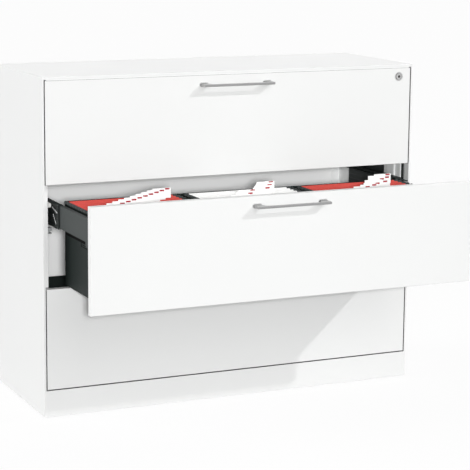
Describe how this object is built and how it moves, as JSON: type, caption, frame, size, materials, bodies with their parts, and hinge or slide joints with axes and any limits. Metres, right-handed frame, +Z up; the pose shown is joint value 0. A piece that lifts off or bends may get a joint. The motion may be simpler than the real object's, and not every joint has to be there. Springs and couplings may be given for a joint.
{
  "type": "filing cabinet",
  "caption": "Wide low steel filing cabinet with full-width drawers on telescopic runners, bow handles, a key lock, and hanging files in the open drawer.",
  "frame": {"origin": "on the floor, in the middle of the space taken with the middle drawer open", "axes": "+X to the right seen from the front, along the width; +Y to the back; +Z up"},
  "size_m": [1.2, 0.834, 0.992],
  "materials": {
    "white_enamel": "smooth satin white enamel",
    "post_steel": "satin light paint over folded steel",
    "tray_steel": "satin dark grey-green paint",
    "band_steel": "satin grey paint, lightly rubbed",
    "runner_steel": "dull zinc with rubbed slide lines",
    "bracket_steel": "light satin paint",
    "handle_steel": "brushed along its length",
    "roller_plastic": "white, slightly polished by rolling",
    "bumper_plastic": "matt grey",
    "foot_plastic": "matt black",
    "pin_steel": "bright riveted heads",
    "lock_chrome": "polished, with a turned face",
    "red_card": "matt coated card",
    "white_card": "matt white card"
  },
  "bodies": {
    "cabinet": {"top_panel": "white_enamel", "left_side_panel": "white_enamel", "right_side_panel": "white_enamel", "back_panel": "white_enamel", "bottom_panel": "white_enamel", "plinth": "white_enamel", "top_front_rail": "post_steel", "front_left_post": "post_steel", "front_right_post": "post_steel", "rear_left_post": "post_steel", "rear_right_post": "post_steel", "levelling_feet": "foot_plastic", "left_cabinet_runners": "runner_steel", "right_cabinet_runners": "runner_steel", "runner_bumpers": "bumper_plastic", "runner_brackets": "bracket_steel", "roller_pins": "pin_steel", "slide_pads": "roller_plastic"},
    "bottom_drawer": {"bottom_front_panel": "white_enamel", "bottom_front_liner": "white_enamel", "bottom_handle": "handle_steel", "bottom_left_side": "tray_steel", "bottom_right_side": "tray_steel", "bottom_back": "tray_steel", "bottom_floor": "tray_steel", "bottom_file_dividers": "tray_steel", "bottom_drawer_runners": "band_steel"},
    "bottom_middle_member": {"bottom_middle_runners": "runner_steel", "bottom_glide_strips": "bumper_plastic"},
    "bottom_rollers": {"bottom_front_rollers": "roller_plastic"},
    "middle_drawer": {"middle_front_panel": "white_enamel", "middle_front_liner": "white_enamel", "middle_handle": "handle_steel", "middle_left_side": "tray_steel", "middle_right_side": "tray_steel", "middle_back": "tray_steel", "middle_floor": "tray_steel", "middle_file_dividers": "tray_steel", "middle_drawer_runners": "band_steel", "middle_red_files": "red_card", "middle_white_files": "white_card"},
    "middle_middle_member": {"middle_middle_runners": "runner_steel", "middle_glide_strips": "bumper_plastic"},
    "middle_rollers": {"middle_front_rollers": "roller_plastic"},
    "top_drawer": {"top_front_panel": "white_enamel", "top_front_liner": "white_enamel", "top_handle": "handle_steel", "top_left_side": "tray_steel", "top_right_side": "tray_steel", "top_back": "tray_steel", "top_floor": "tray_steel", "top_file_dividers": "tray_steel", "top_drawer_runners": "band_steel", "lock_housing": "lock_chrome"},
    "top_middle_member": {"top_middle_runners": "runner_steel", "top_glide_strips": "bumper_plastic"},
    "top_rollers": {"top_front_rollers": "roller_plastic"},
    "lock_core": {"lock_core": "lock_chrome", "lock_cam": "runner_steel"},
    "lock_bar": {"lock_bar": "runner_steel"}
  },
  "joints": [
    {"name": "bottom_drawer_slide", "type": "slide", "parent": "cabinet", "child": "bottom_drawer", "axis": [0, -1, 0], "range_m": [0, 0.367]},
    {"name": "bottom_middle_slide", "type": "slide", "parent": "cabinet", "child": "bottom_middle_member", "axis": [0, -1, 0], "range_m": [0, 0.053]},
    {"name": "bottom_rollers_spin", "type": "hinge", "parent": "cabinet", "child": "bottom_rollers", "pos_m": [0, 0.016, 0.3228], "axis": [1, 0, 0], "range_deg": [0, 320]},
    {"name": "middle_drawer_slide", "type": "slide", "parent": "cabinet", "child": "middle_drawer", "axis": [0, -1, 0], "range_m": [-0.367, 0]},
    {"name": "middle_middle_slide", "type": "slide", "parent": "cabinet", "child": "middle_middle_member", "axis": [0, -1, 0], "range_m": [-0.053, 0]},
    {"name": "middle_rollers_spin", "type": "hinge", "parent": "cabinet", "child": "middle_rollers", "pos_m": [0, 0.016, 0.6228], "axis": [1, 0, 0], "range_deg": [-320, 0]},
    {"name": "top_drawer_slide", "type": "slide", "parent": "cabinet", "child": "top_drawer", "axis": [0, -1, 0], "range_m": [0, 0.367]},
    {"name": "top_middle_slide", "type": "slide", "parent": "cabinet", "child": "top_middle_member", "axis": [0, -1, 0], "range_m": [0, 0.053]},
    {"name": "top_rollers_spin", "type": "hinge", "parent": "cabinet", "child": "top_rollers", "pos_m": [0, 0.016, 0.9228], "axis": [1, 0, 0], "range_deg": [0, 320]},
    {"name": "lock_turn", "type": "hinge", "parent": "top_drawer", "child": "lock_core", "pos_m": [0.552, -0.018, 0.955], "axis": [0, -1, 0], "range_deg": [0, 90]},
    {"name": "lock_bar_lift", "type": "slide", "parent": "cabinet", "child": "lock_bar", "axis": [0, 0, 1], "range_m": [0, 0.01202]}
  ],
  "couplings": [
    {"joint": "bottom_middle_slide", "follows": "bottom_drawer_slide", "ratio": 0.14441},
    {"joint": "bottom_rollers_spin", "follows": "bottom_drawer_slide", "rad_per_m": 15.201},
    {"joint": "middle_middle_slide", "follows": "middle_drawer_slide", "ratio": 0.14441},
    {"joint": "middle_rollers_spin", "follows": "middle_drawer_slide", "rad_per_m": 15.201},
    {"joint": "top_middle_slide", "follows": "top_drawer_slide", "ratio": 0.14441},
    {"joint": "top_rollers_spin", "follows": "top_drawer_slide", "rad_per_m": 15.201},
    {"joint": "lock_turn", "follows": "lock_bar_lift", "rad_per_m": 130.67}
  ]
}
